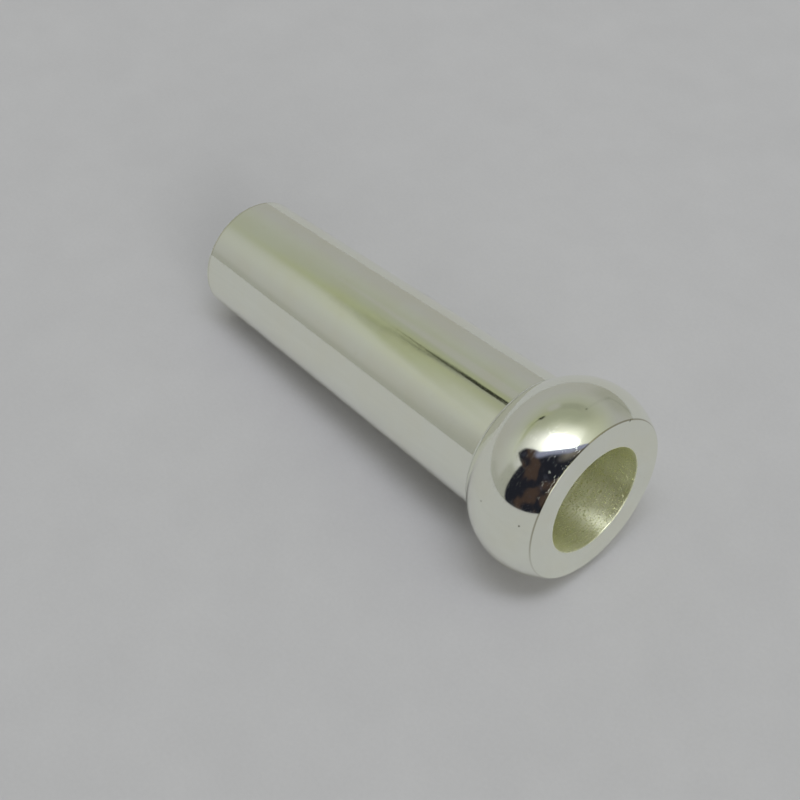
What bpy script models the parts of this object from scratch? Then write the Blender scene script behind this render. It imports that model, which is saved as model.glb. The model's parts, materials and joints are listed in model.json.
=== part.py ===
"""Mouthpiece adapter for a brass instrument, silver-plated brass.

A tapered shank fits the instrument's leadpipe. The thick end carries a
ball-shaped collar with a flat face and a tapered bore, which receives the
shank of another mouthpiece. The shank is seated in a counterbore from the
back of the collar and soldered there, and the solder shows as a narrow
fillet behind the ball.

Metres, +Z up. The adapter lies at rest on z = 0, touching it with the ball
and with the rim of the small end, with its small end towards -X. The origin
is at the centre of its footprint.

Every piece is turned about its own Z axis, which runs from the small end
(z = 0) to the collar's face (z = LENGTH).
"""

import math

import bpy

MM = 0.001

# Whole adapter
LENGTH = 39.2 * MM
FACETS = 32  # flats round each turned piece; one of them faces the floor

# Shank, outside
SHANK_END_RADIUS = 4.925 * MM  # at the small end
SHANK_TAPER = 1.0 / 20.0  # change of diameter per unit of length
RIM_RADIUS = 0.20 * MM  # rounding of the small end's outer edge
RIM_INNER_CHAMFER = 0.15 * MM

# Ball collar, outside: an arc turned about the axis
BALL_RADIUS = 7.65 * MM  # at its widest circle
BALL_ARC_RADIUS = 5.17 * MM  # of the turned profile
BALL_WIDEST_BEHIND_FACE = 3.14 * MM
FACE_EDGE_RADIUS = 0.12 * MM

# Bore: reamed for a mouthpiece shank, then straight
MOUTH_RADIUS = 4.345 * MM
BORE_TAPER = 1.0 / 20.0
THROAT_RADIUS = 3.75 * MM
MOUTH_CHAMFER = 0.08 * MM

# Soldered joint
SEAT_DEPTH = 2.5 * MM  # from the face to the end of the shank
SOLDER_GAP = 0.04 * MM  # between the shank and the counterbore
FILLET_RADIUS = 0.60 * MM  # tangent to the shank and to the ball
FILLET_GAP = 0.02 * MM  # between the fillet and both brass pieces
FILLET_FEATHER = 0.02 * MM  # thickness of the fillet's edge on the shank
SHANK_TOP_CHAMFER = 0.25 * MM

BALL_ARC_STEPS = 24
EDGE_STEPS = 4
FILLET_STEPS = 10

# The ball's profile arc, as (radius, height) in the piece's own frame
BALL_CENTRE_R = BALL_RADIUS - BALL_ARC_RADIUS
BALL_CENTRE_Z = LENGTH - BALL_WIDEST_BEHIND_FACE


def shank_radius(z):
    """Outer radius of the tapered shank."""
    return SHANK_END_RADIUS + 0.5 * SHANK_TAPER * z


def bore_radius(z):
    """Radius of the reamed taper, and of the straight bore below it."""
    return max(THROAT_RADIUS, MOUTH_RADIUS - 0.5 * BORE_TAPER * (LENGTH - z))


def bore_taper_end():
    """Height at which the reamed taper meets the straight bore."""
    return LENGTH - (MOUTH_RADIUS - THROAT_RADIUS) / (0.5 * BORE_TAPER)


def arc(centre_r, centre_z, radius, start, end, steps):
    """Points (r, z) on an arc. Angles in radians, 0 outwards, 90 degrees up."""
    points = []
    for i in range(steps + 1):
        a = start + (end - start) * i / steps
        points.append((centre_r + radius * math.cos(a), centre_z + radius * math.sin(a)))
    return points


def fillet_centre():
    """Centre of the arc that touches the shank and the back of the ball."""
    reach = BALL_ARC_RADIUS + FILLET_RADIUS
    r = shank_radius(BALL_CENTRE_Z - BALL_ARC_RADIUS) + FILLET_RADIUS
    z = BALL_CENTRE_Z
    for _ in range(20):  # the shank's radius depends on the height found
        z = BALL_CENTRE_Z - math.sqrt(reach**2 - (r - BALL_CENTRE_R) ** 2)
        r = shank_radius(z) + FILLET_RADIUS
    return r, z


def collar_back():
    """Where the fillet meets the ball: the outer edge of the collar's back."""
    r, z = fillet_centre()
    k = BALL_ARC_RADIUS / (BALL_ARC_RADIUS + FILLET_RADIUS)
    return BALL_CENTRE_R + k * (r - BALL_CENTRE_R), BALL_CENTRE_Z + k * (z - BALL_CENTRE_Z)


def seat_radius():
    """The shank is parallel from the collar's back to its hidden end."""
    return shank_radius(collar_back()[1])


def face_edge():
    """Centre of the small rounding between the ball and the flat face."""
    z = LENGTH - FACE_EDGE_RADIUS
    inner = BALL_ARC_RADIUS - FACE_EDGE_RADIUS
    r = BALL_CENTRE_R + math.sqrt(inner**2 - (z - BALL_CENTRE_Z) ** 2)
    return r, z


def shank_profile():
    top = LENGTH - SEAT_DEPTH - SOLDER_GAP
    seat = seat_radius()
    back = collar_back()[1]
    outside = [(seat - SHANK_TOP_CHAMFER, top), (seat, top - SHANK_TOP_CHAMFER), (seat, back)]
    rim_r = SHANK_END_RADIUS - RIM_RADIUS
    outside += arc(rim_r, RIM_RADIUS, RIM_RADIUS, 0.0, -math.pi / 2, EDGE_STEPS)
    inside = [
        (THROAT_RADIUS + RIM_INNER_CHAMFER, 0.0),
        (THROAT_RADIUS, RIM_INNER_CHAMFER),
        (THROAT_RADIUS, bore_taper_end()),
        (bore_radius(top), top),
    ]
    return outside + inside


def collar_profile():
    edge_r, edge_z = face_edge()
    meet = math.atan2(edge_z - BALL_CENTRE_Z, edge_r - BALL_CENTRE_R)
    back_r, back_z = collar_back()
    last = math.atan2(back_z - BALL_CENTRE_Z, back_r - BALL_CENTRE_R)
    outside = arc(edge_r, edge_z, FACE_EDGE_RADIUS, math.pi / 2, meet, EDGE_STEPS)
    outside += arc(BALL_CENTRE_R, BALL_CENTRE_Z, BALL_ARC_RADIUS, meet, last, BALL_ARC_STEPS)[1:]
    counterbore = seat_radius() + SOLDER_GAP
    shoulder = LENGTH - SEAT_DEPTH
    inside = [
        (counterbore, back_z),
        (counterbore, shoulder),
        (bore_radius(shoulder), shoulder),
        (MOUTH_RADIUS, LENGTH - MOUTH_CHAMFER),
        (MOUTH_RADIUS + MOUTH_CHAMFER, LENGTH),
    ]
    return outside + inside


def fillet_profile():
    centre_r, centre_z = fillet_centre()
    back_r, back_z = collar_back()
    top = back_z - FILLET_GAP
    start = math.atan2(top - centre_z, -math.sqrt(FILLET_RADIUS**2 - (top - centre_z) ** 2))
    surface = arc(centre_r, centre_z, FILLET_RADIUS, start, math.pi, FILLET_STEPS)
    # the arc would end in a feather edge on the shank, so it stops short of it
    least = FILLET_GAP + FILLET_FEATHER
    outside = [(r, z) for r, z in surface if r - shank_radius(z) > least]
    foot = outside[-1][1] - 0.5 * (outside[-1][1] - centre_z)
    outside.append((shank_radius(foot) + least, foot))
    inside = [(shank_radius(foot) + FILLET_GAP, foot), (shank_radius(top) + FILLET_GAP, top)]
    return outside + inside


def rest_tilt():
    """Angle of the axis when both the ball and the small end's rim touch."""
    a = BALL_CENTRE_Z - RIM_RADIUS
    b = SHANK_END_RADIUS - RIM_RADIUS - BALL_CENTRE_R
    c = BALL_ARC_RADIUS - RIM_RADIUS
    return math.atan2(a, b) - math.acos(c / math.hypot(a, b))


def rest_position(tilt):
    """Where the centre of the small end lies, with the footprint centred."""
    rim_r = SHANK_END_RADIUS - RIM_RADIUS
    edge_r, edge_z = face_edge()
    low_x = RIM_RADIUS * math.cos(tilt) - rim_r * math.sin(tilt) - RIM_RADIUS
    high_x = edge_z * math.cos(tilt) + edge_r * math.sin(tilt) + FACE_EDGE_RADIUS
    low_z = BALL_CENTRE_Z * math.sin(tilt) - BALL_CENTRE_R * math.cos(tilt) - BALL_ARC_RADIUS
    return (-(low_x + high_x) / 2, 0.0, -low_z)


def metal(name, colour, roughness):
    material = bpy.data.materials.new(name)
    material.use_nodes = True
    shader = material.node_tree.nodes["Principled BSDF"]
    shader.inputs["Base Color"].default_value = (*colour, 1.0)
    shader.inputs["Metallic"].default_value = 1.0
    shader.inputs["Roughness"].default_value = roughness
    material.diffuse_color = (*colour, 1.0)
    return material


def turned(name, profile, material, collection, parent):
    """A closed profile, outer side first and top to bottom, turned about Z.

    The flats of the turned piece touch the true circles from outside, and
    one of them is centred on the piece's own +X.
    """
    across_flats = 1.0 / math.cos(math.pi / FACETS)
    mesh = bpy.data.meshes.new(name)
    points = [(r * across_flats, 0.0, z) for r, z in profile]
    edges = [(i, (i + 1) % len(points)) for i in range(len(points))]
    mesh.from_pydata(points, edges, [])
    piece = bpy.data.objects.new(name, mesh)
    collection.objects.link(piece)

    screw = piece.modifiers.new("turn", "SCREW")
    screw.axis = "Z"
    screw.angle = 2 * math.pi
    screw.steps = FACETS
    screw.render_steps = FACETS
    screw.use_merge_vertices = True
    screw.merge_threshold = 0.000001
    screw.use_smooth_shade = True

    # turned into a plain mesh, so that its corners can stay sharp
    bpy.context.view_layer.update()
    solid = bpy.data.meshes.new_from_object(piece.evaluated_get(bpy.context.evaluated_depsgraph_get()))
    piece.modifiers.clear()
    piece.data = solid
    bpy.data.meshes.remove(mesh)
    solid.name = name
    solid.shade_smooth()
    solid.set_sharp_from_angle(angle=math.radians(30))
    solid.materials.clear()
    solid.materials.append(material)

    piece.parent = parent
    piece.rotation_euler = (0.0, 0.0, math.pi / FACETS)
    return piece


def main():
    for old in list(bpy.data.objects):
        bpy.data.objects.remove(old, do_unlink=True)

    collection = bpy.data.collections.new("mouthpiece_adapter")
    bpy.context.scene.collection.children.link(collection)

    tilt = rest_tilt()
    axis = bpy.data.objects.new("adapter_axis", None)
    axis.empty_display_size = 0.01
    axis.location = rest_position(tilt)
    axis.rotation_euler = (0.0, math.pi / 2 - tilt, 0.0)
    collection.objects.link(axis)

    plate = metal("silver_plate", (0.90, 0.90, 0.86), 0.06)
    plate_bore = metal("silver_plate_collar", (0.91, 0.91, 0.87), 0.05)
    solder = metal("silver_solder", (0.84, 0.85, 0.82), 0.16)

    turned("shank_tube", shank_profile(), plate, collection, axis)
    turned("ball_collar", collar_profile(), plate_bore, collection, axis)
    turned("solder_fillet", fillet_profile(), solder, collection, axis)


main()
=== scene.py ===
import json
import math

import bpy
import numpy as np
from mathutils import Matrix, Vector


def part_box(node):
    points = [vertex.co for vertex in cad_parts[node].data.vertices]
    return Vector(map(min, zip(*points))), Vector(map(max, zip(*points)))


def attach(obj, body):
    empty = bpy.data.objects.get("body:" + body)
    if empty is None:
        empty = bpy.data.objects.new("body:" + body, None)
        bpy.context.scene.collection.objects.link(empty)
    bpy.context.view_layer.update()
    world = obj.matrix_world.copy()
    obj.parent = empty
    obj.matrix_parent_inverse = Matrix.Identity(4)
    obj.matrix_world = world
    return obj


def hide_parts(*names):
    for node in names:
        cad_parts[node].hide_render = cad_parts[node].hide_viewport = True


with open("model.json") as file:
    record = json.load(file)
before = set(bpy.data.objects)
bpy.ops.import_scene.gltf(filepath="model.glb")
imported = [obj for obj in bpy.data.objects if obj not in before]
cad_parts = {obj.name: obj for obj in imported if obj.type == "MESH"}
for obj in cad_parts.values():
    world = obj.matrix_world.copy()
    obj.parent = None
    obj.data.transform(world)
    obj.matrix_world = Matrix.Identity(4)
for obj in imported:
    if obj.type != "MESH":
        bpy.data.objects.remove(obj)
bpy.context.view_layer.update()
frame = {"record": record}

# A silver-plated mouthpiece adapter: a tapered shank, a ball-shaped collar
# soldered on its thick end, and the fillet of solder behind the collar. Each
# piece is turned about its own Z axis, as it was on the lathe, and then laid on
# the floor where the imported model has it.

MM = 0.001
SEGMENTS = 320  # round each turned piece

# ---------------------------------------------------------------------------
# Where the axis lies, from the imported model
# ---------------------------------------------------------------------------

mounts = {m["name"]: m for m in frame["record"]["mounts"]}
face_mount, end_mount = mounts["receiver_face"], mounts["shank_end_face"]
collar_lo, collar_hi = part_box("ball_collar")
middle_y = (collar_lo.y + collar_hi.y) / 2
FACE = Vector((face_mount["pos_m"][0], middle_y, face_mount["pos_m"][2]))
END = Vector((end_mount["pos_m"][0], middle_y, end_mount["pos_m"][2]))
AXIS = (FACE - END).normalized()
LENGTH = (FACE - END).length

side = Vector((0.0, 1.0, 0.0))
down = side.cross(AXIS).normalized()
PLACE = Matrix(
    (
        (down.x, side.x, AXIS.x, END.x),
        (down.y, side.y, AXIS.y, END.y),
        (down.z, side.z, AXIS.z, END.z),
        (0.0, 0.0, 0.0, 1.0),
    )
)

# ---------------------------------------------------------------------------
# Dimensions of the turned profiles, the same as the CAD's except for the edge
# of the face, which is a little sharper
# ---------------------------------------------------------------------------

SHANK_END_RADIUS = 4.925 * MM
SHANK_SLOPE = 1.0 / 40.0  # change of radius per unit of length
RIM_RADIUS = 0.20 * MM
RIM_INNER_RADIUS = 0.15 * MM
BALL_ARC_RADIUS = 5.17 * MM
BALL_RADIUS = 7.65 * MM
BALL_CENTRE_R = BALL_RADIUS - BALL_ARC_RADIUS
BALL_CENTRE_Z = LENGTH - 3.14 * MM
FACE_EDGE_RADIUS = 0.06 * MM
MOUTH_RADIUS = 4.345 * MM
BORE_SLOPE = 1.0 / 40.0
THROAT_RADIUS = 3.75 * MM
MOUTH_EDGE = 0.08 * MM
SEAT_DEPTH = 2.5 * MM
SOLDER_GAP = 0.04 * MM
FILLET_RADIUS = 0.60 * MM
FILLET_GAP = 0.02 * MM
FILLET_FEATHER = 0.02 * MM
SHANK_TOP_CHAMFER = 0.25 * MM


def shank_radius(z):
    return SHANK_END_RADIUS + SHANK_SLOPE * z


def bore_radius(z):
    return max(THROAT_RADIUS, MOUTH_RADIUS - BORE_SLOPE * (LENGTH - z))


TAPER_END = LENGTH - (MOUTH_RADIUS - THROAT_RADIUS) / BORE_SLOPE


def find_fillet_centre():
    """Centre of the arc that touches the shank and the back of the ball."""
    reach = BALL_ARC_RADIUS + FILLET_RADIUS
    z = BALL_CENTRE_Z - BALL_ARC_RADIUS
    r = shank_radius(z) + FILLET_RADIUS
    for _ in range(20):
        z = BALL_CENTRE_Z - math.sqrt(reach**2 - (r - BALL_CENTRE_R) ** 2)
        r = shank_radius(z) + FILLET_RADIUS
    return r, z


FILLET_R, FILLET_Z = find_fillet_centre()
_k = BALL_ARC_RADIUS / (BALL_ARC_RADIUS + FILLET_RADIUS)
BACK_R = BALL_CENTRE_R + _k * (FILLET_R - BALL_CENTRE_R)
BACK_Z = BALL_CENTRE_Z + _k * (FILLET_Z - BALL_CENTRE_Z)
SEAT_RADIUS = shank_radius(BACK_Z)
EDGE_Z = LENGTH - FACE_EDGE_RADIUS
EDGE_R = BALL_CENTRE_R + math.sqrt((BALL_ARC_RADIUS - FACE_EDGE_RADIUS) ** 2 - (EDGE_Z - BALL_CENTRE_Z) ** 2)


# ---------------------------------------------------------------------------
# Turned surfaces with exact normals
# ---------------------------------------------------------------------------
# A profile is a closed loop of sections in (r, z). A section is a list of
# (r, z, nr, nz), with the outward normal at each point, and neighbouring
# sections share an end point. Where their normals differ, the corner is sharp.


def arc(cr, cz, radius, start, end, steps, inward=False):
    """Points on an arc, in degrees: 0 is outwards and 90 is towards the face."""
    points = []
    sign = -1.0 if inward else 1.0
    for i in range(steps + 1):
        a = math.radians(start + (end - start) * i / steps)
        points.append((cr + radius * math.cos(a), cz + radius * math.sin(a), sign * math.cos(a), sign * math.sin(a)))
    return points


def line(a, b, normal, steps=1):
    n = math.hypot(*normal)
    nr, nz = normal[0] / n, normal[1] / n
    return [
        (a[0] + (b[0] - a[0]) * i / steps, a[1] + (b[1] - a[1]) * i / steps, nr, nz)
        for i in range(steps + 1)
    ]


def reamed(z_from, z_to, step, pitch, depth, seed):
    """The bore between two heights, with the fine rings that a reamer leaves."""
    rng = np.random.RandomState(seed)
    n = max(2, int(round(abs(z_to - z_from) / step)))
    z = np.linspace(z_from, z_to, n + 1)
    waves = [(pitch * f, depth * w, rng.uniform(0, 2 * math.pi)) for f, w in ((1.0, 1.0), (0.618, 0.7), (1.73, 0.8), (2.9, 0.6))]
    fade = np.minimum(1.0, np.minimum(np.abs(z - z_from), np.abs(z_to - z)) / (2 * step))
    ripple = np.zeros(n + 1)
    slope = np.zeros(n + 1)
    for length, height, phase in waves:
        k = 2 * math.pi / length
        ripple += height * np.sin(k * z + phase)
        slope += height * k * np.cos(k * z + phase)
    base = np.array([bore_radius(v) for v in z])
    base_slope = np.where(z > TAPER_END, BORE_SLOPE, 0.0)
    r = base + ripple * fade
    dr = base_slope + slope * fade
    length = np.sqrt(1 + dr**2)
    return list(zip(r, z, -1 / length, dr / length))


def join(*sections):
    """Drops empty sections and makes neighbouring ends meet exactly."""
    out = [list(s) for s in sections if len(s) > 1]
    for i, s in enumerate(out):
        nxt = out[(i + 1) % len(out)]
        r, z = s[-1][:2]
        gap = math.hypot(nxt[0][0] - r, nxt[0][1] - z)
        if gap > 2e-6:
            raise ValueError(f"sections {i} and {i + 1} don't meet: {gap * 1000:.4f} mm")
        nxt[0] = (r, z, nxt[0][2], nxt[0][3])
    return out


def hand_polish(height, seed, finest=9):
    """Slow waves, a few thousandths of a millimetre high, that hand buffing leaves."""
    rng = np.random.RandomState(seed)
    terms = []
    for _ in range(16):
        turns = rng.randint(0, finest)
        length = rng.uniform(3.5, 11.0) * MM
        terms.append((turns, 2 * math.pi / length * rng.choice((-1, 1)), rng.uniform(0, 2 * math.pi), height * rng.uniform(0.3, 1.0) / (1 + 0.25 * turns)))

    def waves(along, angle):
        h = np.zeros_like(angle)
        d_along = np.zeros_like(angle)
        d_angle = np.zeros_like(angle)
        for turns, k, phase, a in terms:
            t = turns * angle + k * along + phase
            h += a * np.sin(t)
            d_along += a * k * np.cos(t)
            d_angle += a * turns * np.cos(t)
        return h, d_along, d_angle

    return waves


def turned(name, sections, polished=None, waves=None):
    """A closed mesh turned about Z, with a normal of its own at each corner.

    polished lists the indices of the sections that the waves are laid on.
    """
    rings = []  # r, z
    spans = []  # (first ring, normals) of each section
    for s in sections:
        spans.append((len(rings), s))
        rings += [p[:2] for p in s[:-1]]
    count = len(rings)
    angle = np.arange(SEGMENTS) * 2 * math.pi / SEGMENTS
    cos_a, sin_a = np.cos(angle), np.sin(angle)
    ring = np.array(rings)
    along = np.concatenate(([0.0], np.cumsum(np.hypot(*np.diff(ring, axis=0).T))))
    shift = np.zeros((count, SEGMENTS))
    grad = {}
    if waves:
        for index in polished:
            first, s = spans[index]
            rows = np.arange(first, first + len(s))
            a = along[rows % count].copy()
            if rows[-1] >= count:
                a[-1] = along[-1]
            grid_a, grid_t = np.meshgrid(a, angle, indexing="ij")
            h, da, dt = waves(grid_a, grid_t)
            reach = a - a[0], a[-1] - a
            fade = np.clip(np.minimum(*reach) / (0.6 * MM), 0, 1)[:, None]
            fade = fade * fade * (3 - 2 * fade)
            grad[index] = (da * fade, dt * fade)
            for k, row in enumerate(rows[:-1]):
                shift[row] = h[k] * fade[k]
    normal_of = np.zeros((count, 2))
    for first, s in spans:
        for k, p in enumerate(s[:-1]):
            normal_of[first + k] = p[2:]
    r = ring[:, :1] + shift * normal_of[:, :1]
    z = ring[:, 1:] + shift * normal_of[:, 1:]
    co = np.stack([r * cos_a, r * sin_a, np.broadcast_to(z, r.shape)], -1).reshape(-1, 3)

    faces = []
    corner_normals = []
    for index, (first, s) in enumerate(spans):
        n = np.array([p[2:] for p in s])
        rr = np.array([p[0] for p in s])
        nr = np.repeat(n[:, :1], SEGMENTS, 1)
        nz = np.repeat(n[:, 1:], SEGMENTS, 1)
        nt = np.zeros_like(nr)
        if index in grad:
            da, dt = grad[index]
            # the direction along the profile, to which `along` increases
            tr, tz = nz.copy(), -nr.copy()
            if (s[-1][0] - s[0][0]) * tr[0, 0] + (s[-1][1] - s[0][1]) * tz[0, 0] < 0:
                tr, tz = -tr, -tz
            nr = nr - da * tr
            nz = nz - da * tz
            nt = -dt / rr[:, None]
        nx = nr * cos_a - nt * sin_a
        ny = nr * sin_a + nt * cos_a
        nn = np.stack([nx, ny, nz], -1)
        nn /= np.linalg.norm(nn, axis=-1, keepdims=True)
        for k in range(len(s) - 1):
            a, b = first + k, (first + k + 1) % count
            j = np.arange(SEGMENTS)
            j2 = (j + 1) % SEGMENTS
            faces.append(np.stack([a * SEGMENTS + j, b * SEGMENTS + j, b * SEGMENTS + j2, a * SEGMENTS + j2], -1))
            corner_normals.append(np.stack([nn[k, j], nn[k + 1, j], nn[k + 1, j2], nn[k, j2]], 1))
    faces = np.concatenate(faces)
    corner_normals = np.concatenate(corner_normals)

    # the order of the corners follows the outward normals
    p = co[faces]
    geometric = np.cross(p[:, 2] - p[:, 0], p[:, 3] - p[:, 1])
    wrong = (geometric * corner_normals.mean(1)).sum(1) < 0
    if wrong.mean() > 0.5:
        faces = faces[:, ::-1]
        corner_normals = corner_normals[:, ::-1]

    mesh = bpy.data.meshes.new(name)
    mesh.from_pydata(co.tolist(), [], faces.tolist())
    mesh.shade_smooth()
    mesh.validate()
    mesh.normals_split_custom_set([tuple(v) for v in corner_normals.reshape(-1, 3)])
    mesh.update()
    piece = bpy.data.objects.new(name, mesh)
    bpy.context.scene.collection.objects.link(piece)
    piece.matrix_world = PLACE
    return piece


# ---------------------------------------------------------------------------
# The three pieces
# ---------------------------------------------------------------------------

OUTSIDE, SATIN = 0, 1  # material of each section's faces

# the bore is reamed after soldering, so the joint in it is closed to a hair
shank_top = LENGTH - SEAT_DEPTH - 0.002 * MM
rim_angle = -math.degrees(math.atan(SHANK_SLOPE))
shank_wall = math.hypot(1, SHANK_SLOPE)
rim_r = SHANK_END_RADIUS - RIM_RADIUS


def shank_line(a, b, steps):
    return line(a, b, (1.0, -SHANK_SLOPE), steps)


rim = arc(rim_r, RIM_RADIUS, RIM_RADIUS, rim_angle, -90, 14)
wall_foot = (rim[0][0], rim[0][1])
inner_lip = arc(THROAT_RADIUS + RIM_INNER_RADIUS, RIM_INNER_RADIUS, RIM_INNER_RADIUS, 270, 180, 8)
shank_sections = join(
    line((SEAT_RADIUS - SHANK_TOP_CHAMFER, shank_top), (SEAT_RADIUS, shank_top - SHANK_TOP_CHAMFER), (1, 1)),
    line((SEAT_RADIUS, shank_top - SHANK_TOP_CHAMFER), (SEAT_RADIUS, BACK_Z), (1, 0), 4),
    shank_line((SEAT_RADIUS, BACK_Z), wall_foot, 90),
    rim,
    line((rim_r, 0.0), (THROAT_RADIUS + RIM_INNER_RADIUS, 0.0), (0, -1), 3),
    inner_lip,
    line((THROAT_RADIUS, RIM_INNER_RADIUS), (THROAT_RADIUS, 6.0 * MM), (-1, 0), 24),
    line((THROAT_RADIUS, 6.0 * MM), (THROAT_RADIUS, TAPER_END), (-1, 0), 6),
    line((THROAT_RADIUS, TAPER_END), (bore_radius(33.0 * MM), 33.0 * MM), (-1, BORE_SLOPE), 12),
    reamed(33.0 * MM, shank_top, 0.027 * MM, 0.125 * MM, 0.00035 * MM, 5),
    line((bore_radius(shank_top), shank_top), (SEAT_RADIUS - SHANK_TOP_CHAMFER, shank_top), (0, 1), 2),
)
shank = turned("silver_shank", shank_sections, polished=(2,), waves=hand_polish(0.0009 * MM, 11))

ball_top = math.degrees(math.atan2(EDGE_Z - BALL_CENTRE_Z, EDGE_R - BALL_CENTRE_R))
ball_foot = math.degrees(math.atan2(BACK_Z - BALL_CENTRE_Z, BACK_R - BALL_CENTRE_R))
counterbore = SEAT_RADIUS + SOLDER_GAP
shoulder = LENGTH - SEAT_DEPTH
mouth = bore_radius(LENGTH - MOUTH_EDGE)
collar_sections = join(
    arc(EDGE_R, EDGE_Z, FACE_EDGE_RADIUS, 90, ball_top, 12),
    arc(BALL_CENTRE_R, BALL_CENTRE_Z, BALL_ARC_RADIUS, ball_top, ball_foot, 110),
    line((BACK_R, BACK_Z), (counterbore, BACK_Z), (0, -1), 2),
    line((counterbore, BACK_Z), (counterbore, shoulder), (-1, 0), 6),
    line((counterbore, shoulder), (bore_radius(shoulder), shoulder), (0, -1), 2),
    reamed(shoulder, LENGTH - MOUTH_EDGE, 0.020 * MM, 0.125 * MM, 0.00035 * MM, 7),
    arc(mouth + MOUTH_EDGE, LENGTH - MOUTH_EDGE, MOUTH_EDGE, 180, 90, 8),
    line((mouth + MOUTH_EDGE, LENGTH), (EDGE_R, LENGTH), (0, 1), 12),
)
collar = turned("silver_ball_collar", collar_sections, polished=(1,), waves=hand_polish(0.0008 * MM, 23))

fillet_top = BACK_Z - FILLET_GAP
fillet_start = math.degrees(
    math.atan2(fillet_top - FILLET_Z, -math.sqrt(FILLET_RADIUS**2 - (fillet_top - FILLET_Z) ** 2))
)
fillet_arc = [
    p for p in arc(FILLET_R, FILLET_Z, FILLET_RADIUS, fillet_start, 180, 40, inward=True)
    if p[0] - shank_radius(p[1]) > FILLET_GAP + FILLET_FEATHER
]
foot_z = fillet_arc[-1][1] - 0.12 * (fillet_arc[-1][1] - FILLET_Z)
foot = (shank_radius(foot_z) + FILLET_GAP + FILLET_FEATHER, foot_z)
last = fillet_arc[-1]
fillet_sections = join(
    fillet_arc,
    line(last[:2], foot, last[2:], 1),
    line(foot, (shank_radius(foot_z) + FILLET_GAP, foot_z), (0, -1), 1),
    line((shank_radius(foot_z) + FILLET_GAP, foot_z), (shank_radius(fillet_top) + FILLET_GAP, fillet_top), (-1, SHANK_SLOPE), 6),
    line((shank_radius(fillet_top) + FILLET_GAP, fillet_top), fillet_arc[0][:2], (0, 1), 1),
)
fillet = turned("solder_ring", fillet_sections, polished=(0,), waves=hand_polish(0.002 * MM, 31, finest=23))

# ---------------------------------------------------------------------------
# Materials
# ---------------------------------------------------------------------------


class Graph:
    """Adds shader nodes to a tree and chains them."""

    def __init__(self, tree):
        self.tree = tree
        tree.nodes.clear()

    def node(self, kind, **props):
        n = self.tree.nodes.new(kind)
        for key, value in props.items():
            setattr(n, key, value)
        return n

    def plug(self, socket, value):
        if isinstance(value, bpy.types.NodeSocket):
            self.tree.links.new(value, socket)
        elif value is not None:
            socket.default_value = value

    def math(self, operation, a, b=None, c=None, clamp=False):
        n = self.node("ShaderNodeMath", operation=operation, use_clamp=clamp)
        for i, v in enumerate((a, b, c)):
            self.plug(n.inputs[i], v)
        return n.outputs[0]

    def step(self, value, a, b, lo=0.0, hi=1.0, kind="SMOOTHSTEP"):
        n = self.node("ShaderNodeMapRange", interpolation_type=kind, clamp=True)
        for i, v in enumerate((value, a, b, lo, hi)):
            self.plug(n.inputs[i], v)
        return n.outputs[0]

    def mix(self, factor, a, b, blend="MIX"):
        n = self.node("ShaderNodeMix", data_type="RGBA", blend_type=blend, clamp_factor=True)
        self.plug(n.inputs[0], factor)
        self.plug(n.inputs[6], a)
        self.plug(n.inputs[7], b)
        return n.outputs[2]

    def curve(self, value, lo, hi, stops):
        """A grey ramp: stops are (position, height), and the value runs from lo to hi."""
        return self.math("MULTIPLY", self.ramp(value, lo, hi, [(p, (h / 4,) * 3) for p, h in stops]), 4.0)

    def ramp(self, value, lo, hi, stops, kind="LINEAR"):
        at = self.step(value, lo, hi, kind="LINEAR")
        n = self.node("ShaderNodeValToRGB")
        band = n.color_ramp
        band.interpolation = kind
        while len(band.elements) > 1:
            band.elements.remove(band.elements[-1])
        for i, (position, colour) in enumerate(stops):
            where = (position - lo) / (hi - lo)
            e = band.elements[0] if i == 0 else band.elements.new(where)
            e.position = where
            e.color = (*colour, 1.0)
        self.plug(n.inputs[0], at)
        return n.outputs[0]

    def noise(self, vector, scale, detail=2.0, roughness=0.5, distortion=0.0):
        n = self.node("ShaderNodeTexNoise")
        self.plug(n.inputs["Vector"], vector)
        n.inputs["Scale"].default_value = scale
        n.inputs["Detail"].default_value = detail
        n.inputs["Roughness"].default_value = roughness
        n.inputs["Distortion"].default_value = distortion
        return n.outputs["Fac"]

    def stretch(self, vector, scale=(1, 1, 1), turn=(0, 0, 0), move=(0, 0, 0)):
        n = self.node("ShaderNodeMapping")
        self.plug(n.inputs["Vector"], vector)
        n.inputs["Location"].default_value = move
        n.inputs["Rotation"].default_value = turn
        n.inputs["Scale"].default_value = scale
        return n.outputs[0]

    def join(self, x, y, z):
        n = self.node("ShaderNodeCombineXYZ")
        for i, v in enumerate((x, y, z)):
            self.plug(n.inputs[i], v)
        return n.outputs[0]

    def split(self, vector):
        n = self.node("ShaderNodeSeparateXYZ")
        self.plug(n.inputs[0], vector)
        return n.outputs[0], n.outputs[1], n.outputs[2]

    def bump(self, height, distance, strength=1.0, normal=None):
        n = self.node("ShaderNodeBump")
        self.plug(n.inputs["Height"], height)
        n.inputs["Distance"].default_value = distance
        n.inputs["Strength"].default_value = strength
        self.plug(n.inputs["Normal"], normal)
        return n.outputs[0]


def new_material(name):
    material = bpy.data.materials.new(name)
    material.use_nodes = True
    return material, Graph(material.node_tree)


def turned_coordinates(g):
    """(x, y, z) in millimetres in the piece's own frame, the angle round its axis and the radius."""
    object_co = g.node("ShaderNodeTexCoord").outputs["Object"]
    mm = g.stretch(object_co, scale=(1000, 1000, 1000))
    x, y, z = g.split(mm)
    angle = g.math("ARCTAN2", y, x)
    radius = g.math("SQRT", g.math("ADD", g.math("MULTIPLY", x, x), g.math("MULTIPLY", y, y)))
    return mm, z, angle, radius


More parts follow.
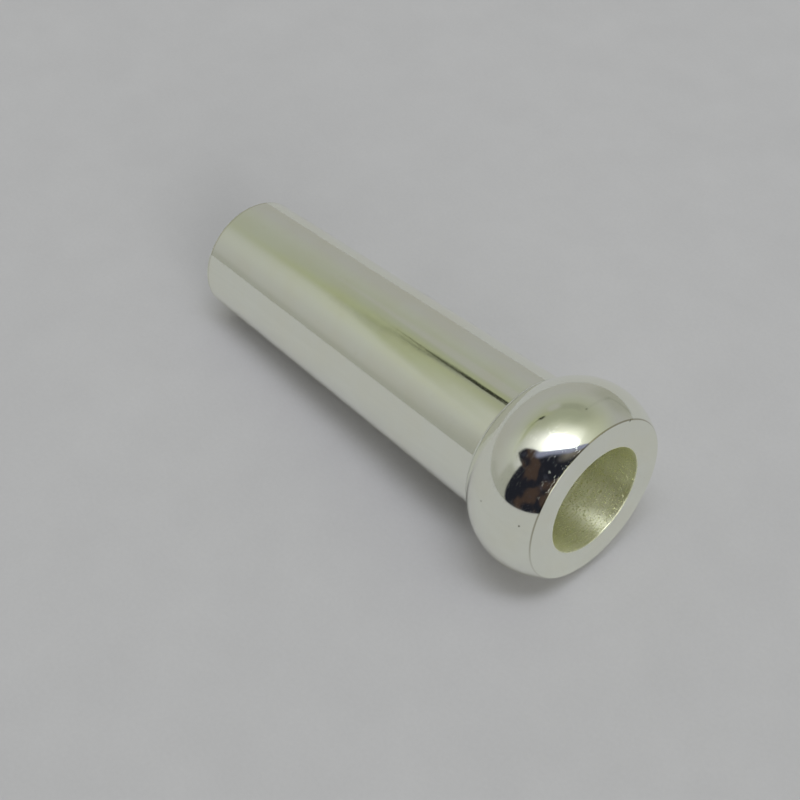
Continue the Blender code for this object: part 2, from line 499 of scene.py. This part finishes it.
def hairlines(g, mm, count=4, scale=2.4, seed=0.0, wear=0.0):
    """Fine scratches in several directions, 0 to 1, mostly 0."""
    total = None
    for i in range(count):
        turn = (0.4 + 1.37 * i + seed, 0.9 * i + 0.3 * seed, 2.1 * i + seed)
        v = g.stretch(mm, scale=(scale * 0.05, scale, scale * 9.0), turn=turn, move=(3.1 * i, 7.7 * i, seed))
        n = g.noise(v, 1.0, detail=1.0, roughness=0.4)
        scratch = g.step(n, 0.745, 0.775, 0.0, 0.6)
        total = scratch if total is None else g.math("MAXIMUM", total, scratch)
        if wear > 0:
            v = g.stretch(mm, scale=(scale * 0.16, scale * 2.2, scale * 15.0), turn=(1.9 + 0.77 * i, 1.3 * i, 0.6 * i + seed), move=(1.7 * i, 5.3 * i, 2.9))
            n = g.noise(v, 1.0, detail=1.0, roughness=0.4)
            total = g.math("MAXIMUM", total, g.step(n, 0.71, 0.77, 0.0, 0.22))
    # they come in patches, where the piece has been handled
    patch = g.step(g.noise(mm, 0.33, detail=2.0), 0.52 - wear, 0.68 - wear)
    return g.math("MULTIPLY", total, patch)


SILVER = (0.925, 0.945, 0.845)
SILVER_WARM = (0.915, 0.915, 0.775)


def nicks(g, mm, places):
    """Small round marks, 1 at their middles: each place is (x, y, z, radius) in millimetres."""
    total = None
    for x, y, z, size in places:
        away = g.node("ShaderNodeVectorMath", operation="DISTANCE")
        g.plug(away.inputs[0], mm)
        away.inputs[1].default_value = (x, y, z)
        mark = g.step(away.outputs["Value"], size * 0.5, size, 1.0, 0.0)
        total = mark if total is None else g.math("MAXIMUM", total, mark)
    return total


def polished_silver(name, tint=SILVER, seed=0.0, soft=0.0, edge=None, wear=0.0, places=()):
    material, g = new_material(name)
    mm, z, angle, radius = turned_coordinates(g)

    cloud = g.noise(g.stretch(mm, move=(seed, 2 * seed, 0)), 0.23, detail=3.0, roughness=0.55)
    stain = g.noise(g.stretch(mm, move=(9 + seed, 0, 4)), 1.1, detail=4.0, roughness=0.6)
    colour = g.mix(g.step(cloud, 0.38, 0.68, 0.0, 0.55), (*tint, 1), (*SILVER_WARM, 1))
    colour = g.mix(g.step(stain, 0.60, 0.82, 0.0, 0.35), colour, (0.86, 0.85, 0.70, 1))
    scratches = hairlines(g, mm, seed=seed, wear=wear)
    colour = g.mix(g.math("MULTIPLY", scratches, 0.12), colour, (0.78, 0.78, 0.70, 1))
    # where edge() says, a darker line is painted along an edge: painted shade
    if edge is not None:
        colour = g.mix(edge(g, z, radius, angle), colour, (0.44, 0.42, 0.31, 1))
    if places:
        marked = nicks(g, mm, places)
        colour = g.mix(g.math("MULTIPLY", marked, 0.75), colour, (0.22, 0.21, 0.15, 1))

    # buffing haze, smears and the scratches themselves
    haze = g.noise(g.stretch(mm, scale=(1, 1, 0.5)), 0.8, detail=5.0, roughness=0.65)
    smear = g.noise(g.stretch(mm, scale=(0.4, 0.4, 0.12), turn=(0.5, 0.2, 0.0)), 1.6, detail=3.0)
    rough = g.math("ADD", g.step(haze, 0.3, 0.75, 0.045, 0.085), g.step(smear, 0.52, 0.75, 0.0, 0.03))
    rough = g.math("ADD", rough, g.math("MULTIPLY", scratches, 0.10))
    rough = g.math("ADD", rough, soft)

    # lines left by turning and polishing, which run round the piece
    rings = g.noise(g.join(g.math("MULTIPLY", g.math("COSINE", angle), 0.8), g.math("MULTIPLY", g.math("SINE", angle), 0.8), g.math("MULTIPLY", g.math("ADD", z, g.math("MULTIPLY", radius, 0.7)), 26.0)), 1.0, detail=3.0, roughness=0.7)
    grain = g.noise(mm, 34.0, detail=2.0)
    relief = g.math("ADD", g.math("MULTIPLY", rings, 0.35), g.math("MULTIPLY", grain, 0.10))
    relief = g.math("SUBTRACT", relief, g.math("MULTIPLY", scratches, 0.9))
    pits = g.node("ShaderNodeTexVoronoi", feature="F1")
    g.plug(pits.inputs["Vector"], mm)
    pits.inputs["Scale"].default_value = 0.85
    pit = g.step(pits.outputs["Distance"], 0.018, 0.045, 1.0, 0.0)
    relief = g.math("SUBTRACT", relief, g.math("MULTIPLY", pit, 1.2))
    if places:
        relief = g.math("SUBTRACT", relief, g.math("MULTIPLY", marked, 4.0))

    shader = g.node("ShaderNodeBsdfPrincipled")
    g.plug(shader.inputs["Base Color"], colour)
    g.plug(shader.inputs["Roughness"], rough)
    g.plug(shader.inputs["Normal"], g.bump(relief, 0.0000022))
    shader.inputs["Metallic"].default_value = 1.0
    out = g.node("ShaderNodeOutputMaterial")
    g.plug(out.inputs["Surface"], shader.outputs[0])
    return material


def satin_bore(name, seed=0.0):
    """Reamed silver: grooves round the bore, which draw highlights out along it."""
    material, g = new_material(name)
    mm, z, angle, radius = turned_coordinates(g)
    round_x = g.math("MULTIPLY", g.math("COSINE", angle), 4.0)
    round_y = g.math("MULTIPLY", g.math("SINE", angle), 4.0)
    fine = g.noise(g.join(g.math("MULTIPLY", round_x, 0.5), g.math("MULTIPLY", round_y, 0.5), g.math("MULTIPLY", z, 55.0)), 1.0, detail=3.0, roughness=0.7)
    coarse = g.noise(g.join(g.math("MULTIPLY", round_x, 0.25), g.math("MULTIPLY", round_y, 0.25), g.math("MULTIPLY", z, 9.0)), 1.0, detail=2.0, roughness=0.6)
    grit = g.noise(mm, 9.0, detail=3.0, roughness=0.7)
    chatter = g.noise(g.join(g.math("MULTIPLY", round_x, 7.0), g.math("MULTIPLY", round_y, 7.0), g.math("MULTIPLY", z, 1.2)), 1.0, detail=2.0)

    colour = g.mix(g.step(coarse, 0.35, 0.7), (0.87, 0.88, 0.63, 1), (0.93, 0.935, 0.73, 1))
    colour = g.mix(g.step(grit, 0.58, 0.8, 0.0, 0.3), colour, (0.84, 0.84, 0.60, 1))
    rough = g.math("ADD", g.step(coarse, 0.36, 0.64, 0.33, 0.50), g.step(grit, 0.3, 0.8, -0.06, 0.06))
    relief = g.math("ADD", g.math("MULTIPLY", fine, 0.9), g.math("MULTIPLY", coarse, 0.9))
    relief = g.math("ADD", relief, g.math("ADD", g.math("MULTIPLY", grit, 1.8), g.math("MULTIPLY", chatter, 0.8)))
    # torn spots, which glitter
    torn = g.step(g.noise(g.stretch(mm, move=(3, 1, 8)), 9.0, detail=1.0), 0.56, 0.63)
    relief = g.math("ADD", relief, g.math("MULTIPLY", g.math("MULTIPLY", torn, g.noise(mm, 16.0, detail=0.0)), 4.2))
    rough = g.math("SUBTRACT", rough, g.math("MULTIPLY", torn, 0.27))

    tangent = g.node("ShaderNodeTangent", direction_type="RADIAL", axis="Z")
    shader = g.node("ShaderNodeBsdfPrincipled")
    g.plug(shader.inputs["Base Color"], colour)
    g.plug(shader.inputs["Roughness"], rough)
    shader.inputs["Metallic"].default_value = 1.0
    shader.inputs["Anisotropic"].default_value = 0.85
    shader.inputs["Anisotropic Rotation"].default_value = 0.25
    g.plug(shader.inputs["Tangent"], tangent.outputs[0])
    g.plug(shader.inputs["Normal"], g.bump(relief, 0.000006))
    out = g.node("ShaderNodeOutputMaterial")
    g.plug(out.inputs["Surface"], shader.outputs[0])
    return material


def soft_solder(name):
    """Plated solder: softer gloss, a slightly uneven surface and small pores."""
    material, g = new_material(name)
    mm, z, angle, radius = turned_coordinates(g)
    lumps = g.noise(mm, 1.4, detail=4.0, roughness=0.6)
    pores = g.node("ShaderNodeTexVoronoi", feature="F1")
    g.plug(pores.inputs["Vector"], mm)
    pores.inputs["Scale"].default_value = 2.6
    pore = g.step(pores.outputs["Distance"], 0.04, 0.11, 1.0, 0.0)
    colour = g.mix(g.step(lumps, 0.35, 0.7), (0.84, 0.86, 0.76, 1), (0.90, 0.92, 0.82, 1))
    colour = g.mix(g.math("MULTIPLY", pore, 0.5), colour, (0.45, 0.44, 0.36, 1))
    shader = g.node("ShaderNodeBsdfPrincipled")
    g.plug(shader.inputs["Base Color"], colour)
    g.plug(shader.inputs["Roughness"], g.step(lumps, 0.3, 0.75, 0.12, 0.22))
    shader.inputs["Metallic"].default_value = 1.0
    relief = g.math("SUBTRACT", lumps, g.math("MULTIPLY", pore, 0.8))
    g.plug(shader.inputs["Normal"], g.bump(relief, 0.00003))
    out = g.node("ShaderNodeOutputMaterial")
    g.plug(out.inputs["Surface"], shader.outputs[0])
    return material


def painted_edge_shade(g, z, radius, angle):
    """A darker line painted on the turned edge round the flat face, darkest on one side: painted shade that dims the
    edge's reflection of the bright window.
    """
    near_face = g.step(z, LENGTH * 1000 - 0.12, LENGTH * 1000 - 0.06)
    off_face = g.step(radius, EDGE_R * 1000 + 0.0, EDGE_R * 1000 + 0.03)
    # darkest on the side where the edge would glint with the bright window: painted shade
    glint_side_shade = g.step(g.math("COSINE", g.math("SUBTRACT", angle, 3.35)), -0.1, 0.6, 0.3, 0.85)
    return g.math("MULTIPLY", g.math("MULTIPLY", near_face, off_face), glint_side_shade)


def painted_rim_shade(g, z, radius, angle):
    """A darker line painted where the shank's wall meets the rounding of its small end: painted shade, standing in for
    the dark line this edge shows.
    """
    line_at = g.math("MULTIPLY", g.step(z, 0.10, 0.19), g.step(z, 0.36, 0.26))
    return g.math("MULTIPLY", g.math("MULTIPLY", line_at, g.step(radius, 4.5, 4.6)), 0.28)


# small marks on the collar, in its own frame
NICKS = (
    (-2.14, -6.81, 38.31, 0.10),
    (-2.34, -7.17, 35.03, 0.09),
    (-5.77, 3.10, 39.17, 0.13),
)


def put_materials(piece, sections, satin, outside, inside):
    """The sections whose index is in `satin` take the bore's material."""
    piece.data.materials.clear()
    piece.data.materials.append(outside)
    if inside is not None:
        piece.data.materials.append(inside)
        index = np.zeros(len(piece.data.polygons), np.int32)
        at = 0
        for i, s in enumerate(sections):
            n = (len(s) - 1) * SEGMENTS
            if i in satin:
                index[at:at + n] = 1
            at += n
        piece.data.polygons.foreach_set("material_index", index)


put_materials(shank, shank_sections, (5, 6, 7, 8, 9, 10), polished_silver("silver_plate_mirror_shank", seed=2.0, edge=painted_rim_shade, wear=-0.03), satin_bore("silver_plate_satin_shank", 1.0))
put_materials(collar, collar_sections, (5, 6), polished_silver("silver_plate_mirror_collar", seed=5.0, edge=painted_edge_shade, wear=0.20, places=NICKS), satin_bore("silver_plate_satin_collar", 4.0))
put_materials(fillet, fillet_sections, (), soft_solder("silver_solder_soft"), None)

for piece, node, slot in (
    (shank, "shank_tube", "silver_plate_shank"),
    (collar, "ball_collar", "silver_plate_collar"),
    (fillet, "solder_fillet", "silver_solder"),
):
    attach(piece, "root")
    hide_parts(node)

# ---------------------------------------------------------------------------
# Camera
# ---------------------------------------------------------------------------

azimuth, elevation = math.radians(47.695), math.radians(48.049)
right = Vector((math.cos(azimuth), math.sin(azimuth), 0.0))
forward = Vector((-math.sin(azimuth) * math.cos(elevation), math.cos(azimuth) * math.cos(elevation), -math.sin(elevation)))
up = right.cross(forward)
data = bpy.data.cameras.new("camera")
data.sensor_width = 36.0
data.lens = 1449.0 / 800.0 * 36.0
data.clip_start = 0.001
data.clip_end = 100.0
camera = bpy.data.objects.new("camera", data)
bpy.context.scene.collection.objects.link(camera)
eye = FACE - (13.79 * right - 7.08 * up + 102.1 * forward) * MM
camera.matrix_world = Matrix(
    (
        (right.x, up.x, -forward.x, eye.x),
        (right.y, up.y, -forward.y, eye.y),
        (right.z, up.z, -forward.z, eye.z),
        (0.0, 0.0, 0.0, 1.0),
    )
)
bpy.context.scene.camera = camera

# ---------------------------------------------------------------------------
# Floor
# ---------------------------------------------------------------------------


def paper_floor():
    material, g = new_material("matt_paper")
    object_co = g.node("ShaderNodeTexCoord").outputs["Object"]
    mm = g.stretch(object_co, scale=(1000, 1000, 1000))
    mottle = g.noise(mm, 0.16, detail=5.0, roughness=0.6)
    grain = g.noise(mm, 3.2, detail=3.0, roughness=0.6)
    shade = g.math("ADD", g.step(mottle, 0.3, 0.7, -0.012, 0.012, "LINEAR"), g.step(grain, 0.3, 0.7, -0.008, 0.008, "LINEAR"))
    colour = g.node("ShaderNodeCombineColor")
    for i, v in enumerate(FLOOR_COLOUR):
        g.plug(colour.inputs[i], g.math("ADD", shade, v))
    shader = g.node("ShaderNodeBsdfPrincipled")
    g.plug(shader.inputs["Base Color"], colour.outputs[0])
    shader.inputs["Roughness"].default_value = 0.95
    shader.inputs["Specular IOR Level"].default_value = 0.15
    g.plug(shader.inputs["Normal"], g.bump(grain, 0.00002, 0.4))
    out = g.node("ShaderNodeOutputMaterial")
    g.plug(out.inputs["Surface"], shader.outputs[0])
    return material


FLOOR_COLOUR = (0.589, 0.583, 0.598)
sheet = bpy.data.meshes.new("floor")
rim_count, reach = 96, 4.0
outer = [(reach * math.cos(2 * math.pi * i / rim_count), reach * math.sin(2 * math.pi * i / rim_count), 0.0) for i in range(rim_count)]
sheet.from_pydata(outer, [], [list(range(rim_count))])
floor = bpy.data.objects.new("floor", sheet)
bpy.context.scene.collection.objects.link(floor)
sheet.materials.append(paper_floor())

# ---------------------------------------------------------------------------
# A light tent, as seen from the object: pale walls, a bright panel overhead,
# and the dark opening in front
# ---------------------------------------------------------------------------


def linear(r, g, b):
    return tuple(((c / 255 + 0.055) / 1.055) ** 2.4 for c in (r, g, b))


def tent(r, g, b, gain=1.0):
    """The colour of the tent that the silver shows as this one."""
    return tuple(gain * v / s for v, s in zip(linear(r, g, b), (0.915, 0.945, 0.835)))


def light_tent():
    world = bpy.data.worlds.new("light_tent")
    bpy.context.scene.world = world
    world.use_nodes = True
    g = Graph(world.node_tree)
    direction = g.node("ShaderNodeTexCoord").outputs["Generated"]
    x, y, z = g.split(direction)
    el = g.math("DEGREES", g.math("ARCSINE", z))
    az = g.math("DEGREES", g.math("ARCTAN2", y, x))
    az = g.math("ADD", az, g.math("MULTIPLY", g.math("LESS_THAN", az, 0.0), 360.0))
    # degrees from straight up, along azimuth 28 and across it
    flat = g.math("MAXIMUM", g.math("SQRT", g.math("ADD", g.math("MULTIPLY", x, x), g.math("MULTIPLY", y, y))), 0.0001)
    scale = g.math("DIVIDE", g.math("SUBTRACT", 90.0, el), flat)
    c, s = math.cos(math.radians(28)), math.sin(math.radians(28))
    e1 = g.math("MULTIPLY", scale, g.math("ADD", g.math("MULTIPLY", x, c), g.math("MULTIPLY", y, s)))
    e2 = g.math("MULTIPLY", scale, g.math("SUBTRACT", g.math("MULTIPLY", y, c), g.math("MULTIPLY", x, s)))

    walls = g.ramp(el, -90, 90, [
        (-90, tent(168, 170, 163)),
        (-2, tent(164, 166, 158)),
        (2, tent(156, 158, 146)),
        (20, tent(157, 159, 149)),
        (33, tent(157, 161, 145)),
        (44, tent(152, 157, 135)),
        (53, tent(145, 150, 126)),
        (64, tent(145, 151, 126)),
        (76, tent(150, 156, 130)),
        (90, tent(156, 162, 136)),
    ])
    # paler towards azimuth 215, and again towards 40
    lobe_a = g.math("MULTIPLY", g.step(az, 184, 219), g.step(az, 266, 240))
    lobe_a = g.math("MULTIPLY", lobe_a, g.curve(el, -10, 60, [(-10, 0.0), (0, 0.02), (10, 0.14), (22, 0.42), (38, 1.0), (60, 1.0)]))
    lobe_b = g.step(g.math("ABSOLUTE", g.math("SUBTRACT", az, 35)), 60, 10)
    lobe_b = g.math("MULTIPLY", lobe_b, g.step(el, 20, 50))
    walls = g.mix(lobe_a, walls, (*tent(174, 178, 163), 1))
    strip = g.math("MULTIPLY", g.math("MULTIPLY", g.step(az, 232, 240), g.step(az, 256, 253)), g.math("MULTIPLY", g.step(el, 27, 36), g.step(el, 48, 40)))
    walls = g.mix(g.math("MULTIPLY", strip, 0.8), walls, (*tent(176, 179, 168), 1))
    shade = g.math("MULTIPLY", g.step(az, 228, 239), g.math("MULTIPLY", g.step(el, 34, 26), g.step(el, -12, 0)))
    walls = g.mix(g.math("MULTIPLY", shade, 0.85), walls, (*tent(146, 149, 133), 1))
    low = g.math("MULTIPLY", g.math("MULTIPLY", g.step(az, 204, 218), g.step(az, 262, 250)), g.math("MULTIPLY", g.step(el, -26, -12), g.step(el, 12, 3)))
    walls = g.mix(g.math("MULTIPLY", low, 0.8), walls, (*tent(146, 149, 136), 1))
    hollow = g.math("MULTIPLY", g.math("MULTIPLY", g.step(az, 96, 112), g.step(az, 152, 134)), g.step(g.math("ABSOLUTE", g.math("SUBTRACT", el, 50.0)), 7.0, 2.0))
    walls = g.mix(g.math("MULTIPLY", hollow, 0.8), walls, (*tent(136, 141, 119), 1))
    plain = g.math("MULTIPLY", g.math("MULTIPLY", g.step(az, 138, 146), g.step(az, 162, 155)), g.math("MULTIPLY", g.step(el, 38, 43), g.step(el, 52, 49)))
    walls = g.mix(g.math("MULTIPLY", plain, 0.8), walls, (*tent(158, 160, 148), 1))
    side = g.math("MULTIPLY", g.math("MULTIPLY", g.step(az, 72, 90), g.step(az, 124, 106)), g.math("MULTIPLY", g.step(el, -22, -6), g.step(el, 32, 16)))
    walls = g.mix(g.math("MULTIPLY", side, 0.9), walls, (*tent(145, 148, 133), 1))
    walls = g.mix(g.math("MULTIPLY", lobe_b, 0.9), walls, (*tent(175, 180, 153), 1))

    # yellow-green cloth by the seam, and the seam itself
    seam = g.curve(az, 150, 230, [(150, 5.8), (160, 5.5), (171, 5.19), (175, 5.08), (180, 4.94), (185, 4.78), (190, 4.64), (195, 4.48), (200, 4.32), (205, 4.15), (212, 3.9), (230, 3.4)])
    off = g.math("SUBTRACT", el, g.math("MULTIPLY", seam, 10.0))
    glow = g.math("MULTIPLY", g.step(az, 150, 172), g.step(az, 226, 200))
    below = g.math("MULTIPLY", g.step(off, -9.0, -1.5), g.step(off, 0.6, 0.0))
    below = g.math("MULTIPLY", below, g.step(az, 203, 186))
    above = g.math("MULTIPLY", g.step(off, -0.1, 0.6), g.step(off, 8.0, 1.0))
    above = g.math("MULTIPLY", above, g.step(az, 177, 188))
    yellow = g.math("MULTIPLY", glow, g.math("MAXIMUM", below, above))
    walls = g.mix(g.math("MULTIPLY", yellow, 0.9), walls, (*tent(151, 158, 120), 1))
    under = g.math("MULTIPLY", g.math("MULTIPLY", g.step(az, 186, 203), g.step(az, 232, 215)), g.math("MULTIPLY", g.step(off, -7, -1), g.step(off, 0.3, -0.3)))
    walls = g.mix(g.math("MULTIPLY", under, 0.8), walls, (*tent(172, 177, 154), 1))
    width = g.curve(az, 150, 230, [(150, 0.0), (167, 0.0), (169.5, 0.18), (172, 0.18), (174, 0.22), (175.6, 0.22), (176.6, 0.07), (184, 0.045), (200, 0.035), (205, 0.0), (230, 0.0)])
    width = g.math("MULTIPLY", width, 10.0)
    on_seam = g.math("LESS_THAN", g.math("ABSOLUTE", off), width)
    depth = g.step(az, 206, 176, 0.25, 1.0, "LINEAR")
    walls = g.mix(g.math("MULTIPLY", on_seam, depth), walls, (0.012, 0.014, 0.008, 1))

    # the tent's other corner
    fold = g.math("MULTIPLY", g.curve(el, 0, 60, [(0, 0.86), (4.7, 0.894), (9, 0.95), (13, 1.01), (48, 1.005), (60, 1.0)]), 100.0)
    corner_line = g.math("MULTIPLY", g.step(g.math("ABSOLUTE", g.math("SUBTRACT", az, fold)), 2.6, 0.3), g.step(el, 50, 46))
    corner_line = g.math("MULTIPLY", corner_line, g.step(el, 24, 13, 0.3, 0.95))
    walls = g.mix(g.math("MULTIPLY", corner_line, 0.8), walls, (*tent(128, 132, 116), 1))
    tie = g.math("MULTIPLY", g.step(g.math("ABSOLUTE", g.math("SUBTRACT", az, 100.5)), 1.9, 0.8), g.step(g.math("ABSOLUTE", g.math("SUBTRACT", el, 48.5)), 1.6, 0.7))
    walls = g.mix(g.math("MULTIPLY", tie, 0.75), walls, (0.03, 0.035, 0.02, 1))

    # the bright panel overhead
    along = g.curve(e1, -50, 60, [(-50, 0.0), (-46, 0.0), (-40, 0.05), (-32, 0.15), (-24, 0.27), (-16, 0.46), (-8, 0.77), (0, 1.0), (20, 1.0), (26, 0.8), (31, 0.42), (38, 0.28), (46, 0.1), (60, 0.0)])
    across = g.curve(e2, -40, 40, [(-40, 1.2), (-12, 1.6), (-8, 1.4), (-4, 1.05), (0, 0.72), (4, 0.53), (8, 0.37), (12, 0.22), (16, 0.09), (20, 0.03), (27, 0.0), (40, 0.0)])
    lamp = g.math("MULTIPLY", along, across)
    panel = g.mix(1.0, (*tent(246, 249, 238), 1), g.join(lamp, lamp, lamp), "MULTIPLY")
    sky = g.mix(1.0, walls, panel, "ADD")
    core = g.math("MULTIPLY", g.step(e1, -15, 2), g.step(e1, 31, 17))
    core = g.math("MULTIPLY", core, g.step(e2, 2, -8, 0.0, 5.5))
    hot = g.mix(1.0, (0.96, 1.0, 1.10, 1), g.join(core, core, core), "MULTIPLY")
    sky = g.mix(1.0, sky, hot, "ADD")

    # the opening in front, with an uneven dark room behind it
    top = g.curve(e1, -60, 60, [(-60, 0.8), (-50, 1.2), (-40, 1.45), (-32, 1.65), (-24, 1.9), (-16, 2.2), (-8, 2.05), (0, 1.8), (8, 1.65), (16, 1.4), (24, 1.15), (32, 0.6), (40, 0.0), (60, 0.0)])
    edge_top = g.math("MULTIPLY", top, -10.0)
    under_top = g.step(g.math("SUBTRACT", e2, edge_top), 0.9, -0.9)
    corner = g.math("MULTIPLY", g.curve(el, -10, 45, [(-10, 2.66), (-1, 2.60), (2, 2.56), (6, 2.53), (12, 2.51), (20, 2.50), (27, 2.495), (40, 2.50), (45, 2.50)]), 100.0)
    low_side = g.step(g.math("SUBTRACT", az, corner), -0.6, 0.8)
    high_side = g.math("MULTIPLY", g.step(az, 227.0, 229.5), g.step(el, 38.8, 40.2))
    near_right = g.math("MULTIPLY", g.math("LESS_THAN", az, 60.0), g.step(el, 44.0, 48.0))
    inside = g.math("MAXIMUM", g.math("MAXIMUM", g.math("MULTIPLY", low_side, g.step(az, 345.0, 330.0)), g.math("MULTIPLY", low_side, g.step(el, 42.0, 48.0))), g.math("MAXIMUM", high_side, near_right))
    opening = g.math("MULTIPLY", under_top, inside)
    opening = g.math("MULTIPLY", opening, g.step(e2, 4.0, -2.0))
    room_noise = g.noise(direction, 2.2, detail=2.0, roughness=0.45)
    room = g.mix(g.step(room_noise, 0.50, 0.60), (*tent(29, 31, 36), 1), (*tent(62, 51, 43), 1))
    room_lines = g.noise(g.stretch(direction, scale=(1.0, 3.4, 1.0), turn=(0.4, 0.9, 0.3)), 2.6, detail=3.0, roughness=0.6)
    room = g.mix(g.step(room_lines, 0.57, 0.68, 0.0, 0.5), room, (*tent(60, 62, 70), 1))
    below_top = g.math("SUBTRACT", e2, edge_top)
    soft_edge = g.math("MULTIPLY", g.step(below_top, -20.0, -9.0), g.step(e1, 8.0, 24.0, 0.0, 0.85))
    room = g.mix(soft_edge, room, (*tent(114, 110, 98), 1))
    soft_edge = g.math("MULTIPLY", g.step(below_top, -9.0, -4.5), g.step(e1, -26.0, -16.0, 0.0, 0.9))
    room = g.mix(soft_edge, room, (*tent(130, 136, 154), 1))
    sky = g.mix(opening, sky, room)

    # a bright window low in front, past the collar's face, where no mirror on the piece shows it
    turn = g.math("SUBTRACT", az, 360.0)
    window_top = g.math("MULTIPLY", g.curve(turn, -60, 0, [(-60, 0.6), (-50, 1.8), (-42, 2.5), (-34, 3.2), (-24, 4.0), (-12, 4.6), (0, 4.8)]), 10.0)
    window = g.math("MULTIPLY", g.step(turn, -44.0, -36.0), g.step(turn, -2.0, -8.0))
    window = g.math("MULTIPLY", window, g.math("MULTIPLY", g.step(el, 5.0, 10.0), g.step(g.math("SUBTRACT", el, window_top), 0.0, -4.0)))
    window = g.math("MULTIPLY", window, 3.4)
    sky = g.mix(1.0, sky, g.mix(1.0, (1.0, 1.0, 0.97, 1), g.join(window, window, window), "MULTIPLY"), "ADD")

    # the camera itself sees a plain pale backdrop
    seen = g.ramp(el, -20, 60, [(-20, (0.42, 0.42, 0.43)), (0, (0.43, 0.43, 0.44)), (60, (0.50, 0.50, 0.51))])
    ray = g.node("ShaderNodeLightPath").outputs["Is Camera Ray"]
    sky = g.mix(ray, sky, seen)

    background = g.node("ShaderNodeBackground")
    g.plug(background.inputs["Color"], sky)
    background.inputs["Strength"].default_value = 1.0
    out = g.node("ShaderNodeOutputWorld")
    g.plug(out.inputs["Surface"], background.outputs[0])
    world.cycles.sampling_method = "MANUAL"
    world.cycles.sample_map_resolution = 1024
    return world


light_tent()

# light goes down the bore and back by many reflections
bpy.context.scene.cycles.max_bounces = 24
bpy.context.scene.cycles.glossy_bounces = 20

bpy.context.scene.view_settings.view_transform = "Standard"
bpy.context.scene.view_settings.look = "None"
